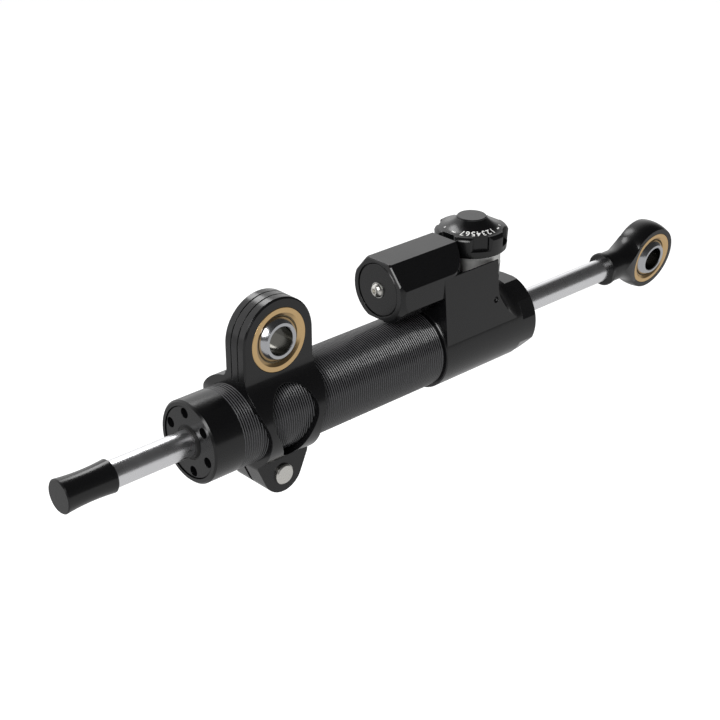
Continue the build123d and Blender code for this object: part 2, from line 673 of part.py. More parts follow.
def rod_cap():
    """The rubber cap pushed over the rod's front end, drawn in a little at the middle."""
    x1, x2 = CAP_FACE + EDGE, CAP_REAR - EDGE
    waist = ThreePointArc((x1, 0, CAP_FRONT_R), ((x1 + x2) / 2, 0, CAP_WAIST_R), (x2, 0, CAP_REAR_R))
    bore = ROD_R + SEAT
    rest = Polyline((x2, 0, CAP_REAR_R), (CAP_REAR, 0, CAP_REAR_R - EDGE), (CAP_REAR, 0, bore),
                    (ROD_FRONT - 0.1, 0, bore), (ROD_FRONT - 0.1, 0, 0), (CAP_FACE, 0, 0),
                    (CAP_FACE, 0, CAP_FRONT_R - EDGE), (x1, 0, CAP_FRONT_R))
    return revolve(make_face(waist.edges() + rest.edges()), Axis.X)


def across(*outline):
    """A piece turned about the Y axis, from the (radius, y) corners of its outline."""
    return revolve(make_face(Polyline(*[(r, y, 0) for r, y in outline], close=True)), Axis.Y)


def race(outer, half):
    seat = BALL_R + SLIDE + LINER_T + SEAT
    mouth = sqrt(seat ** 2 - half ** 2)
    body = across((0, -half), (outer - 0.2, -half), (outer, 0.2 - half), (outer, half - 0.2), (outer - 0.2, half),
                  (0, half))
    body -= Sphere(seat)
    bevel = across((0, half - RACE_BEVEL), (mouth, half - RACE_BEVEL), (mouth + 1.4 * RACE_BEVEL, half + 0.1),
                   (0, half + 0.1))
    return body - bevel - mirror(bevel, Plane.XZ)


def liner(half):
    outer = BALL_R + SLIDE + LINER_T
    body = Sphere(outer) - Sphere(BALL_R + SLIDE)
    reach = half - 1.2
    return body & across((0, -reach), (outer + 1, -reach), (outer + 1, reach), (0, reach))


def ball():
    body = Sphere(BALL_R) & across((0, -BALL_HALF), (BALL_R, -BALL_HALF), (BALL_R, BALL_HALF), (0, BALL_HALF))
    mouth = BALL_BORE_R + BALL_CHAMFER
    bore = across((0, -BALL_HALF - 1), (mouth, -BALL_HALF - 1), (mouth, -BALL_HALF),
                  (BALL_BORE_R, BALL_CHAMFER - BALL_HALF), (BALL_BORE_R, BALL_HALF - BALL_CHAMFER),
                  (mouth, BALL_HALF), (mouth, BALL_HALF + 1), (0, BALL_HALF + 1))
    return body - bore


IN_EAR = Pos(0, EAR_Y, EAR_Z)
IN_EYE = Pos(EYE_X, 0, 0) * Rot(EYE_ROLL, 0, 0)


def clamp_side(inset=0.0):
    """The clamp's outline seen along Y: the round-topped ear, the ring and the lug."""
    lean = radians(LUG_LEAN)
    touch = (LUG_R * cos(lean), LUG_Z - LUG_R * sin(lean))
    low_x = touch[0] + (RING_LOW_Z - touch[1]) * tan(lean)
    side = [(EAR_R, EAR_Z), (EAR_R, EAR_FOOT_Z), (RING_HALF, RING_WAIST_Z), (low_x, RING_LOW_Z), touch]
    edges = []
    for sign in (1, -1):
        points = [(sign * x, 0, z) for x, z in side]
        edges += FilletPolyline(*points, radius=[9.0, 20.0, 5.0]).edges()
    edges += ThreePointArc((EAR_R, 0, EAR_Z), (0, 0, EAR_Z + EAR_R), (-EAR_R, 0, EAR_Z)).edges()
    edges += ThreePointArc((touch[0], 0, touch[1]), (0, 0, LUG_Z - LUG_R), (-touch[0], 0, touch[1])).edges()
    face = make_face(edges)
    if inset:
        face = offset(face, -inset)
    return face


def slab(face, y0, y1):
    """A face in the XZ plane made into a plate from y0 to y1."""
    return Pos(0, y0, 0) * extrude(face, y1 - y0, dir=(0, 1, 0))


def above(z):
    return Pos(0, 0, z + 50) * Box(100, 100, 100)


def below(z):
    return Pos(0, 0, z - 50) * Box(100, 100, 100)


def clamp_ear():
    y0, y1 = EAR_Y - EAR_HALF, EAR_Y + EAR_HALF
    body = slab(clamp_side(), y0, y1) & above(12.0)
    rims = body.edges().filter_by(lambda e: e.center().Z > 14).filter_by(Plane.XZ)
    body = chamfer(rims, 0.6)
    rim = clamp_side()
    rim -= clamp_side(EAR_GROOVE_DEPTH)
    for y in EAR_GROOVE_Y:
        body -= slab(rim, y - EAR_GROOVE_W / 2, y + EAR_GROOVE_W / 2) & above(RING_R)
    return body


def ear_root(face_y, radius):
    """The hollow curve between a face of the ear and the ring's outside."""
    side = 1 if face_y > EAR_Y else -1
    centre_y = face_y + side * radius
    centre_z = sqrt((RING_R + radius) ** 2 - (centre_y - RING_Y) ** 2)
    share = RING_R / (RING_R + radius)
    touch_y, touch_z = RING_Y + share * (centre_y - RING_Y), share * centre_z
    inner_y = face_y - side
    corners = [(0, inner_y, centre_z), (0, centre_y, centre_z), (0, touch_y, touch_z), (0, inner_y, touch_z)]
    web = extrude(make_face(Polyline(*corners, close=True)), 2 * EAR_R, dir=(1, 0, 0))
    hollow = Rot(0, 90, 0) * Cylinder(radius, 5 * EAR_R)
    web = Pos(-EAR_R, 0, 0) * web - Pos(0, centre_y, centre_z) * hollow
    return web & slab(clamp_side(), -2 * RING_R, 2 * RING_R)


def window():
    """The egg-shaped opening through both walls of the ring, wide end up."""
    z0, r0 = WINDOW_TOP
    z1, r1 = WINDOW_FOOT
    lean = (r0 - r1) / (z0 - z1)
    side = sqrt(1 - lean ** 2)
    upper = (r0 * side, z0 - r0 * lean)
    lower = (r1 * side, z1 - r1 * lean)
    crown = ThreePointArc((upper[0], 0, upper[1]), (0, 0, z0 + r0), (-upper[0], 0, upper[1]))
    foot = ThreePointArc((-lower[0], 0, lower[1]), (0, 0, z1 - r1), (lower[0], 0, lower[1]))
    left = Line((-upper[0], 0, upper[1]), (-lower[0], 0, lower[1]))
    right = Line((lower[0], 0, lower[1]), (upper[0], 0, upper[1]))
    face = make_face(crown.edges() + left.edges() + foot.edges() + right.edges())
    return slab(face, -2 * RING_R, 2 * RING_R)


def clamp_body():
    body = Pos(0, RING_Y, 0) * ring(-20, 20, RING_R) & slab(clamp_side(), -2 * RING_R, 2 * RING_R)
    body += slab(clamp_side(), -LUG_HALF_Y, LUG_HALF_Y) & below(-12.0)
    body += clamp_ear()
    body += ear_root(EAR_Y - EAR_HALF, EAR_NEAR_ROOT_R)
    body += ear_root(EAR_Y + EAR_HALF, EAR_FAR_ROOT_R)
    body -= window()
    body -= ring(-30, 30, TUBE_R + SLIDE)
    body -= Pos(0, 0, -30) * Box(60, 2 * SLOT_HALF, 40)
    body -= IN_EAR * across((0, -20), (EAR_RACE_R, -20), (EAR_RACE_R, 20), (0, 20))
    body -= IN_BOLT * across((0, -20), (BOLT_R + SEAT, -20), (BOLT_R + SEAT, 0), (BOLT_R + 0.3, 0),
                             (BOLT_R + 0.3, LUG_HALF_Y), (BOLT_HEAD_R + 0.3, LUG_HALF_Y),
                             (BOLT_HEAD_R + 0.3, 20), (0, 20))
    return body


IN_BOLT = Pos(0, 0, BOLT_Z)


def pinch_bolt():
    """A cap screw from the far side, whose plain end stands proud of the near lug."""
    end = -LUG_HALF_Y - BOLT_PROUD
    head = LUG_HALF_Y + BOLT_HEAD_H
    body = across((0, end), (BOLT_R - 0.5, end), (BOLT_R, end + 0.5), (BOLT_R, LUG_HALF_Y),
                  (BOLT_HEAD_R, LUG_HALF_Y), (BOLT_HEAD_R, head - EDGE), (BOLT_HEAD_R - EDGE, head), (0, head))
    hexagon = Plane.XZ * RegularPolygon(BOLT_HEX / sqrt(3), 6)
    return IN_BOLT * (body - Pos(0, head - 4, 0) * extrude(hexagon, 5, dir=(0, 1, 0)))


def eye_crown():
    """The rod end's barrel-shaped ring, with flat faces and a crowned outside."""
    crown = ThreePointArc((EYE_FACE_R, -EYE_HALF, 0), (EYE_CROWN_R, 0, 0), (EYE_FACE_R, EYE_HALF, 0))
    rest = Polyline((EYE_FACE_R, EYE_HALF, 0), (0, EYE_HALF, 0), (0, -EYE_HALF, 0), (EYE_FACE_R, -EYE_HALF, 0))
    return revolve(make_face(crown.edges() + rest.edges()), Axis.Y)


def eye_shank():
    """The round shank, flaring in a smooth curve into the ring and thinning to its width."""
    rise = SHANK_R + EYE_FILLET_R
    run = sqrt((EYE_CROWN_R + EYE_FILLET_R) ** 2 - rise ** 2)
    share = EYE_CROWN_R / (EYE_CROWN_R + EYE_FILLET_R)
    start, touch = -run, (-run * share, rise * share)
    middle_x = start + (touch[0] - start) * 0.55
    middle_r = rise - sqrt(EYE_FILLET_R ** 2 - (middle_x - start) ** 2)
    front = SHANK_FRONT - EYE_X
    curve = ThreePointArc((start, 0, SHANK_R), (middle_x, 0, middle_r), (touch[0], 0, touch[1]))
    collar_end = front + SHANK_COLLAR_L
    rest = Polyline((touch[0], 0, touch[1]), (-2, 0, touch[1]), (-2, 0, 0), (front, 0, 0),
                    (front, 0, SHANK_COLLAR_R - 0.5), (front + 0.5, 0, SHANK_COLLAR_R),
                    (collar_end, 0, SHANK_COLLAR_R), (collar_end + 0.5, 0, SHANK_R), (start, 0, SHANK_R))
    body = revolve(make_face(curve.edges() + rest.edges()), Axis.X)
    thin = ThreePointArc((start - 2, SHANK_R, 0), (touch[0] - 3, EYE_HALF + 0.75, 0), (touch[0] + 2, EYE_HALF, 0))
    half = Polyline((touch[0] + 2, EYE_HALF, 0), (0, EYE_HALF, 0), (0, 0, 0), (front, 0, 0), (front, SHANK_R, 0),
                    (start - 2, SHANK_R, 0))
    side = extrude(make_face(thin.edges() + half.edges()), 30, both=True)
    return body & (side + mirror(side, Plane.XZ))


def rod_end_housing():
    body = eye_crown() + eye_shank()
    body -= across((0, -20), (EYE_RACE_R, -20), (EYE_RACE_R, 20), (0, 20))
    bore = ring(SHANK_FRONT - EYE_X - 1, SHANK_BORE_END - EYE_X, ROD_THREAD_R + SEAT)
    return IN_EYE * (body - bore)


def nodes():
    return {
        "cylinder_tube": cylinder_tube(),
        "head_oring": head_oring(),
        "inner_cylinder": inner_cylinder(),
        "liner_orings": liner_orings(),
        "front_gland": front_gland(),
        "gland_oring": gland_oring(),
        "front_rod_bush": rod_bush(-23.1, -12.7),
        "front_rod_seal": rod_seal(-29.7, -24.7, 1),
        "front_wiper": front_wiper(),
        "head_block": head_block(),
        "rear_rod_bush": rod_bush(80.2, 90.3),
        "rear_rod_seal": rod_seal(112.1, 118.1, -1),
        "rear_snap_ring": rear_snap_ring(),
        "rear_wiper": rear_wiper(),
        "reservoir_plug": reservoir_plug(),
        "plug_oring": plug_oring(),
        "bleed_washer": bleed_washer(),
        "bleed_screw": bleed_screw(),
        "floating_piston": floating_piston(),
        "floating_piston_oring": floating_piston_oring(),
        "compensator_spring": compensator_spring(),
        "adjuster_collar": adjuster_collar(),
        "collar_oring": collar_oring(),
        "knob_retaining_ring": knob_retaining_ring(),
        "adjuster_knob": adjuster_knob(),
        "knob_cap": knob_cap(),
        "needle_valve": needle_valve(),
        "needle_oring": needle_oring(),
        "detent_ball": detent_ball(),
        "detent_spring": detent_spring(),
        "piston": piston(),
        "piston_ring": piston_ring(),
        "piston_circlips": piston_circlips(),
        "piston_rod": piston_rod(),
        "rod_cap": rod_cap(),
        "rod_end_housing": rod_end_housing(),
        "rod_end_race": IN_EYE * race(EYE_RACE_R - SEAT, EYE_HALF),
        "rod_end_liner": IN_EYE * liner(EYE_HALF),
        "rod_end_ball": IN_EYE * ball(),
        "clamp_body": clamp_body(),
        "clamp_race": IN_EAR * race(EAR_RACE_R - SEAT, EAR_RACE_HALF),
        "clamp_liner": IN_EAR * liner(EAR_RACE_HALF),
        "clamp_ball": IN_EAR * ball(),
        "pinch_bolt": pinch_bolt(),
    }


def write(name, shape):
    pieces = shape if isinstance(shape, list) else [shape]
    solids = [ORIGIN_SHIFT * s for piece in pieces for s in piece.solids()]
    whole = solids[0] if len(solids) == 1 else Compound(children=solids)
    export_step(whole, f"parts/{name}.step")
    return len(solids), sum(s.volume for s in solids)


os.makedirs("parts", exist_ok=True)
for name, shape in nodes().items():
    count, volume = write(name, shape)
    print(f"{name:24s} solids {count}  volume {volume:9.1f}")
for label, spring in (("compensator", SPRING), ("detent", DETENT_SPRING)):
    print(f"{label} spring: least gap between turns {least_coil_gap(**spring):.2f} mm")
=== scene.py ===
from math import cos, hypot, radians, sin, sqrt

import bpy
import bmesh
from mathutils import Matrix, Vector


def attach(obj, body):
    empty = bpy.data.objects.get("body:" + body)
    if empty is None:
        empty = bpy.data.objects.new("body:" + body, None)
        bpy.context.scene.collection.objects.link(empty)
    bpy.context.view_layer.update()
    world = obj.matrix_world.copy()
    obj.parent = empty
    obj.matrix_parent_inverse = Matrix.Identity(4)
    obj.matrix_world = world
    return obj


# A steering damper for an electric scooter. The CAD nodes carry every shape; this script gives them
# their finishes, prints the knob's dial, and sets the camera, the floor and the light.

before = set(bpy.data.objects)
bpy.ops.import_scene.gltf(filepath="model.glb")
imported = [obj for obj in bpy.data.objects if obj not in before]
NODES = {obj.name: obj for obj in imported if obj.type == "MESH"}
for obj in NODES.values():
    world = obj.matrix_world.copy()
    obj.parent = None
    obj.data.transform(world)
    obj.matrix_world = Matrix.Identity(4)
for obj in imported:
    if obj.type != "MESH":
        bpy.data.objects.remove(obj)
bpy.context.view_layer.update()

MM = 0.001
WHITE = (1, 1, 1, 1)


def linear(hex_colour):
    """A colour written as sRGB hex, as Blender's linear values with full alpha."""
    channels = [int(hex_colour[i:i + 2], 16) / 255 for i in (1, 3, 5)]
    return (*[c / 12.92 if c <= 0.04045 else ((c + 0.055) / 1.055) ** 2.4 for c in channels], 1.0)


def add(tree, kind, inputs=(), **settings):
    """Adds one node with its settings. An input is a plain value or another node's output."""
    made = tree.nodes.new("ShaderNode" + kind)
    for name, value in settings.items():
        setattr(made, name, value)
    for name, value in dict(inputs).items():
        if isinstance(value, bpy.types.NodeSocket):
            tree.links.new(value, made.inputs[name])
        else:
            made.inputs[name].default_value = value
    return made


def finish(name, colour, metallic, roughness):
    """A new material with plain values on its shader; returns it with its tree and its shader."""
    material = bpy.data.materials.new(name)
    material.use_nodes = True
    tree = material.node_tree
    shader = tree.nodes["Principled BSDF"]
    shader.inputs["Base Color"].default_value = linear(colour)
    shader.inputs["Metallic"].default_value = metallic
    shader.inputs["Roughness"].default_value = roughness
    return material, tree, shader


def millimetres(tree):
    """The place on the part, in millimetres in the part's own frame."""
    place = add(tree, "TexCoord").outputs["Object"]
    return add(tree, "VectorMath", {0: place, 1: (1000, 1000, 1000)}, operation="MULTIPLY").outputs[0]


# The values between which nearly all of a noise lies
NOISE_LOW, NOISE_HIGH = 0.3, 0.7


def mottle(tree, place, grain_mm, low, high):
    """A soft cloudy value between low and high, with clouds about grain_mm across."""
    noise = add(tree, "TexNoise", {"Vector": place, "Scale": 1 / grain_mm, "Detail": 3.0})
    scaled = add(tree, "MapRange", {"Value": noise.outputs["Fac"], "From Min": NOISE_LOW,
                                    "From Max": NOISE_HIGH, "To Min": low, "To Max": high})
    return scaled.outputs["Result"]


def off_axis(tree, place, centre, axis):
    """The distance in millimetres from an axis through a centre."""
    offset = add(tree, "VectorMath", {0: place, 1: centre}, operation="SUBTRACT").outputs[0]
    across = add(tree, "VectorMath", {0: offset, 1: axis}, operation="CROSS_PRODUCT").outputs[0]
    return add(tree, "VectorMath", {0: across}, operation="LENGTH").outputs["Value"]


def tool_marks(tree, distance, spacing_mm):
    """Uneven marks that follow each other along a distance, about spacing_mm apart."""
    steps = add(tree, "Math", {0: distance, 1: 1 / spacing_mm}, operation="MULTIPLY").outputs[0]
    marks = add(tree, "TexNoise", {"W": steps, "Scale": 1.0, "Detail": 2.0}, noise_dimensions="1D")
    return marks.outputs["Fac"]


def turned_rings(tree, place, centre, axis, ring_mm):
    """A value that changes only with the distance from an axis, as tool marks on a faced end do."""
    return tool_marks(tree, off_axis(tree, place, centre, axis), ring_mm)


def drawn_lines(tree, place, axis, line_mm):
    """A value that changes only along an axis, as the marks of turning or grinding round it do."""
    along = add(tree, "VectorMath", {0: place, 1: axis}, operation="DOT_PRODUCT").outputs["Value"]
    return tool_marks(tree, along, line_mm)


def relief(tree, shader, height, depth_mm, edge_mm=0.0):
    """Raises the surface by a height from 0 to 1 times depth_mm. An edge_mm shades the sharp edges
    as if they were rounded by that much."""
    bump = add(tree, "Bump", {"Height": height, "Distance": depth_mm * MM, "Strength": 1.0})
    if edge_mm:
        edge = add(tree, "Bevel", {"Radius": edge_mm * MM}, samples=6)
        tree.links.new(edge.outputs[0], bump.inputs["Normal"])
    tree.links.new(bump.outputs["Normal"], shader.inputs["Normal"])


# Centres and directions that the finishes run round, in millimetres in the part's frame
TUBE_AXIS = (0.0, 3.0, -31.4)
EYE_CENTRE = (220.3, 3.0, -31.4)
RESERVOIR_AXIS = (0.0, 3.0, -0.4)
KNOB_AXIS = (106.8, 3.0, 0.0)
EAR_CENTRE = (0.0, 0.0, 0.0)
EYE_ROLL = radians(8.6)
ALONG_X = (1.0, 0.0, 0.0)
ALONG_Y = (0.0, 1.0, 0.0)
ALONG_Z = (0.0, 0.0, 1.0)
EYE_AXIS = (0.0, cos(EYE_ROLL), sin(EYE_ROLL))

# Where the colour changes on one piece. On the ribs it goes from a painted grey highlight in the grooves to
# black as the distance from the tube's axis grows, and on a ball from painted shade in its bore to bright
# steel.
RIBS_FROM = -22.8
GROOVE_GREY_R = 15.62
CREST_BLACK_R = 15.72
BALL_BORE_R = 5.3
BORE_EDGE = 0.1

# Sizes of grain, in millimetres. The marks of cutting and grinding are given in each material: a
# finishing cut leaves them 0.1 to 0.2 mm apart, and grinding leaves finer ones than the 0.1 mm drawn.
MILLED_GRAIN = 0.15
BLASTED_GRAIN = 0.25
COAT_RIPPLE = 1.2
RUBBER_GRAIN = 0.3
LINER_THREAD = 0.35


def turned_black_anodised():
    """Turned aluminium under a dyed black oxide: near black, with a clear sheen at a flat angle.
    The ribs' grooves are painted greyer than their crests, as a painted highlight for the light their flanks
    catch, so that ribs this fine still show."""
    material, tree, shader = finish("turned_black_anodised", "#0e0e0f", metallic=0.0, roughness=0.2)
    place = millimetres(tree)
    lines = drawn_lines(tree, place, ALONG_X, line_mm=0.12)
    relief(tree, shader, lines, depth_mm=0.004)
    # Painted highlight: grey painted into the grooves stands in for the light caught on their flanks.
    crest = add(tree, "MapRange", {"Value": off_axis(tree, place, TUBE_AXIS, ALONG_X),
                                   "From Min": GROOVE_GREY_R, "From Max": CREST_BLACK_R,
                                   "To Min": 0.0, "To Max": 1.0})
    along = add(tree, "SeparateXYZ", {"Vector": place}).outputs["X"]
    ahead = add(tree, "Math", {0: along, 1: RIBS_FROM}, operation="LESS_THAN")
    dark = add(tree, "Math", {0: crest.outputs["Result"], 1: ahead.outputs[0]}, operation="MAXIMUM")
    painted_groove_highlight = add(tree, "Mix", {0: dark.outputs[0], 6: linear("#4c4c4e"), 7: linear("#0b0b0c")}, data_type="RGBA")
    tree.links.new(painted_groove_highlight.outputs[2], shader.inputs["Base Color"])
    tree.links.new(mottle(tree, place, grain_mm=6.0, low=0.17, high=0.23), shader.inputs["Roughness"])
    return material


def milled_black_anodised():
    """Milled aluminium under a dyed black oxide: smooth, with faint clouds in its gloss and a thin
    bright line along each broken edge."""
    material, tree, shader = finish("milled_black_anodised", "#0e0e0f", metallic=0.0, roughness=0.2)
    place = millimetres(tree)
    grit = add(tree, "TexNoise", {"Vector": place, "Scale": 1 / MILLED_GRAIN, "Detail": 2.0}).outputs["Fac"]
    relief(tree, shader, grit, depth_mm=0.0015, edge_mm=0.25)
    tree.links.new(mottle(tree, place, grain_mm=8.0, low=0.16, high=0.24), shader.inputs["Roughness"])
    return material


def faced_black_anodised(name, centre):
    """Faced aluminium under a dyed black oxide: faint rings of the facing tool round its centre."""
    material, tree, shader = finish(name, "#0c0c0d", metallic=0.0, roughness=0.24)
    place = millimetres(tree)
    rings = turned_rings(tree, place, centre, ALONG_X, ring_mm=0.18)
    relief(tree, shader, rings, depth_mm=0.002, edge_mm=0.2)
    return material


def blasted_black_anodised():
    """Finely blasted aluminium under a dyed black oxide: slightly granular, with thin bright lines
    along its broken edges."""
    material, tree, shader = finish("blasted_black_anodised", "#0c0c0d", metallic=0.0, roughness=0.22)
    place = millimetres(tree)
    grit = add(tree, "TexNoise", {"Vector": place, "Scale": 1 / BLASTED_GRAIN, "Detail": 3.0}).outputs["Fac"]
    relief(tree, shader, grit, depth_mm=0.004, edge_mm=0.25)
    return material


def faced_grey_anodised():
    """A flat faced disc under a dyed grey oxide, satin."""
    material, tree, shader = finish("faced_grey_anodised", "#161617", metallic=0.0, roughness=0.26)
    rings = turned_rings(tree, millimetres(tree), KNOB_AXIS, ALONG_Z, ring_mm=0.2)
    relief(tree, shader, rings, depth_mm=0.002)
    return material


def lapped_aluminium(name, axis):
    """Bare aluminium, lapped after turning: bright and satin, with fine lines round its axis."""
    material, tree, shader = finish(name, "#f0f0ee", metallic=1.0, roughness=0.6)
    place = millimetres(tree)
    lines = drawn_lines(tree, place, axis, line_mm=0.15)
    relief(tree, shader, lines, depth_mm=0.004)
    return material


def ground_hard_chrome():
    """Steel, ground and hard chrome plated: near white, with reflections that the hair-fine marks
    round the rod soften."""
    material, tree, shader = finish("ground_hard_chrome", "#f0f0f2", metallic=1.0, roughness=0.28)
    place = millimetres(tree)
    lines = drawn_lines(tree, place, ALONG_X, line_mm=0.1)
    relief(tree, shader, lines, depth_mm=0.0015)
    tree.links.new(mottle(tree, place, grain_mm=5.0, low=0.25, high=0.31), shader.inputs["Roughness"])
    return material


def polished_bearing_steel(name, centre, axis, bore_r):
    """Polished bearing steel: a clear grey mirror, with its bore painted dark grey as painted shade."""
    material, tree, shader = finish(name, "#c3c4c7", metallic=1.0, roughness=0.17)
    place = millimetres(tree)
    tree.links.new(mottle(tree, place, grain_mm=3.0, low=0.15, high=0.2), shader.inputs["Roughness"])
    # Painted shade: the inside of the bore is painted dark, for the shade that falls in the hole.
    outside = add(tree, "MapRange", {"Value": off_axis(tree, place, centre, axis), "From Min": bore_r,
                                     "From Max": bore_r + BORE_EDGE, "To Min": 0.0, "To Max": 1.0})
    painted_bore_shade = add(tree, "Mix", {0: outside.outputs["Result"], 6: linear("#5a5955"), 7: linear("#c3c4c7")},
               data_type="RGBA")
    tree.links.new(painted_bore_shade.outputs[2], shader.inputs["Base Color"])
    return material


def turned_bronze(name, centre, axis):
    """Turned bronze: a soft golden sheen with rings round the bore, which are drawn 0.35 mm apart,
    coarser than a real cut leaves them, so that they show."""
    material, tree, shader = finish(name, "#dfbd8a", metallic=1.0, roughness=0.28)
    rings = turned_rings(tree, millimetres(tree), centre, axis, ring_mm=0.35)
    relief(tree, shader, rings, depth_mm=0.02)
    return material


def black_coated_forged_steel():
    """Forged steel with a gloss black coat: deep black under a clear smooth skin."""
    material, tree, shader = finish("black_coated_forged_steel", "#0a0a0b", metallic=0.0, roughness=0.24)
    place = millimetres(tree)
    ripple = add(tree, "TexNoise", {"Vector": place, "Scale": 1 / COAT_RIPPLE, "Detail": 1.0}).outputs["Fac"]
    relief(tree, shader, ripple, depth_mm=0.004)
    return material


def moulded_cap_rubber():
    """Moulded rubber from a polished mould: black with a soft gloss."""
    material, tree, shader = finish("moulded_cap_rubber", "#0c0c0d", metallic=0.0, roughness=0.22)
    place = millimetres(tree)
    painted_bore_shade = add(tree, "TexNoise", {"Vector": place, "Scale": 1 / RUBBER_GRAIN, "Detail": 2.0}).outputs["Fac"]
    relief(tree, shader, painted_bore_shade, depth_mm=0.008)
    return material


def moulded_nitrile_rubber():
    """Nitrile rubber, smooth and dull black."""
    material, tree, shader = finish("moulded_nitrile_rubber", "#0b0b0b", metallic=0.0, roughness=0.5)
    place = millimetres(tree)
    tree.links.new(mottle(tree, place, grain_mm=1.5, low=0.42, high=0.58), shader.inputs["Roughness"])
    return material


def moulded_urethane():
    """Moulded polyurethane, dark green and waxy."""
    material, tree, shader = finish("moulded_urethane", "#2c4a45", metallic=0.0, roughness=0.38)
    place = millimetres(tree)
    tree.links.new(mottle(tree, place, grain_mm=2.0, low=0.33, high=0.45), shader.inputs["Roughness"])
    return material


def rolled_bronze_strip():
    """Bronze-backed bearing strip, rolled: brown yellow and satin."""
    material, tree, shader = finish("rolled_bronze_strip", "#a9824c", metallic=1.0, roughness=0.38)
    place = millimetres(tree)
    relief(tree, shader, drawn_lines(tree, place, ALONG_X, line_mm=0.2), depth_mm=0.006)
    return material


def bronze_filled_ptfe():
    """Bronze-filled low-friction plastic: brown and waxy."""
    material, tree, shader = finish("bronze_filled_ptfe", "#5c4a34", metallic=0.0, roughness=0.45)
    place = millimetres(tree)
    tree.links.new(mottle(tree, place, grain_mm=0.6, low=0.38, high=0.52), shader.inputs["Roughness"])
    return material


def woven_liner():
    """Thin woven liner bonded in the race: a dull tan."""
    material, tree, shader = finish("woven_liner", "#6b6048", metallic=0.0, roughness=0.62)
    place = millimetres(tree)
    threads = add(tree, "TexVoronoi", {"Vector": place, "Scale": 1 / LINER_THREAD}).outputs["Distance"]
    relief(tree, shader, threads, depth_mm=0.02)
    return material


def ground_steel():
    """Ground and honed steel: grey, with a fine cross grain."""
    material, tree, shader = finish("ground_steel", "#a3a4a6", metallic=1.0, roughness=0.28)
    place = millimetres(tree)
    relief(tree, shader, drawn_lines(tree, place, ALONG_X, line_mm=0.12), depth_mm=0.004)
    return material


def zinc_plated_steel():
    """Zinc plated steel: pale silver with a slight cloudiness."""
    material, tree, shader = finish("zinc_plated_steel", "#dedcd7", metallic=1.0, roughness=0.26)
    place = millimetres(tree)
    tree.links.new(mottle(tree, place, grain_mm=3.0, low=0.22, high=0.3), shader.inputs["Roughness"])
    return material


def stamped_aluminium():
    """Soft aluminium, stamped: pale and slightly dull."""
    material, tree, shader = finish("stamped_aluminium", "#c4c4c2", metallic=1.0, roughness=0.36)
    place = millimetres(tree)
    tree.links.new(mottle(tree, place, grain_mm=0.8, low=0.3, high=0.45), shader.inputs["Roughness"])
    return material


def phosphated_spring_steel():
    """Drawn spring wire with a dark phosphate coat."""
    material, tree, shader = finish("phosphated_spring_steel", "#55565a", metallic=1.0, roughness=0.36)
    place = millimetres(tree)
    tree.links.new(mottle(tree, place, grain_mm=0.5, low=0.28, high=0.42), shader.inputs["Roughness"])
    return material


def printed_white_ink():
    """Pad-printed white ink on the knob: flat and slightly rough."""
    material, tree, shader = finish("printed_white_ink", "#e6e6e4", metallic=0.0, roughness=0.55)
    place = millimetres(tree)
    tree.links.new(mottle(tree, place, grain_mm=0.3, low=0.48, high=0.62), shader.inputs["Roughness"])
    return material


milled = milled_black_anodised()
rubber = moulded_nitrile_rubber()
urethane = moulded_urethane()
bronze = rolled_bronze_strip()
ground = ground_steel()
zinc = zinc_plated_steel()
spring = phosphated_spring_steel()
liner_cloth = woven_liner()
bare_aluminium = lapped_aluminium("lapped_aluminium_piston", ALONG_X)
FINISHES = {
    "cylinder_tube": turned_black_anodised(),
    "head_block": milled,
    "clamp_body": milled,
    "front_gland": faced_black_anodised("faced_black_anodised_gland", TUBE_AXIS),
    "reservoir_plug": faced_black_anodised("faced_black_anodised_plug", RESERVOIR_AXIS),
    "adjuster_knob": blasted_black_anodised(),
    "knob_cap": faced_grey_anodised(),
    "adjuster_collar": lapped_aluminium("lapped_aluminium_collar", ALONG_Z),
    "piston_rod": ground_hard_chrome(),
    "clamp_ball": polished_bearing_steel("polished_steel_clamp_ball", EAR_CENTRE, ALONG_Y, BALL_BORE_R),
    "rod_end_ball": polished_bearing_steel("polished_steel_rod_end_ball", EYE_CENTRE, EYE_AXIS, BALL_BORE_R),
    "detent_ball": polished_bearing_steel("polished_steel_detent_ball", KNOB_AXIS, ALONG_Z, 0.0),
    "clamp_race": turned_bronze("turned_bronze_clamp_race", EAR_CENTRE, ALONG_Y),
    "rod_end_race": turned_bronze("turned_bronze_rod_end_race", EYE_CENTRE, EYE_AXIS),
    "clamp_liner": liner_cloth,
    "rod_end_liner": liner_cloth,
    "rod_end_housing": black_coated_forged_steel(),
    "rod_cap": moulded_cap_rubber(),
    "front_rod_seal": urethane,
    "rear_rod_seal": urethane,
    "front_rod_bush": bronze,
    "rear_rod_bush": bronze,
    "piston_ring": bronze_filled_ptfe(),
    "piston": bare_aluminium,
    "floating_piston": bare_aluminium,
    "inner_cylinder": ground,
    "needle_valve": ground,
    "pinch_bolt": zinc,
    "bleed_screw": zinc,
    "bleed_washer": stamped_aluminium(),
}
for name in ("front_wiper", "rear_wiper", "gland_oring", "head_oring", "liner_orings", "plug_oring",
             "floating_piston_oring", "collar_oring", "needle_oring"):
    FINISHES[name] = rubber
for name in ("rear_snap_ring", "piston_circlips", "knob_retaining_ring", "compensator_spring",
             "detent_spring"):
    FINISHES[name] = spring

for name, obj in NODES.items():
    obj.data.materials.clear()
    obj.data.materials.append(FINISHES[name])


# The dial: plain numbers on the knob's cone, with their tops towards the rim, and four plain dashes.
# Each point of the cone's hollow profile is a radius from the knob's axis and a height.
CONE_FOOT = (13.5, 12.1)
CONE_MIDDLE = (9.4, 13.3)
CONE_TOP = (6.0, 16.0)
DIAL_NUMBERS = "1234567"
DIAL_END = radians(-156.0)   # the last number's place round the knob
DIAL_STEP = radians(11.6)
DIGIT_SIZE = 3.5             # the size of type that gives numbers about 2.5 mm high
DIGIT_FOOT_R = 9.5
DIGIT_BOLD = 0.05            # what the strokes gain on each side
DASH_R = 11.0
INK_LIFT = 0.03              # how far the ink stands off the cone
